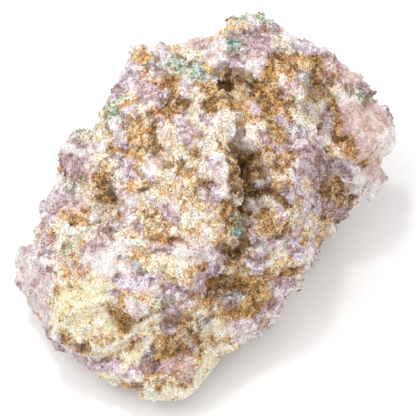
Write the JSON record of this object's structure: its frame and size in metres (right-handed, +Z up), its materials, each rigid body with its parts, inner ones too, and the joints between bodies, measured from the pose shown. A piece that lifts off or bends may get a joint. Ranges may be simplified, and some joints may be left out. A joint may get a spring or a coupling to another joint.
{
  "type": "raw lepidolite specimen",
  "caption": "Rough hand specimen of lilac lepidolite mica with cream feldspar, grey quartz, green crystals and rusty hollows; a blunt block that rests on its worn underside.",
  "frame": {"origin": "middle of the bounding box, on the surface that the stone rests on", "axes": "+X along the longest side, +Z up from the surface that it rests on, +Y across"},
  "size_m": [0.0802, 0.0574, 0.0393],
  "materials": {
    "lilac_mica": "rough broken crystal aggregate"
  },
  "bodies": {
    "root": {"lepidolite_specimen": "lilac_mica"}
  },
  "joints": []
}
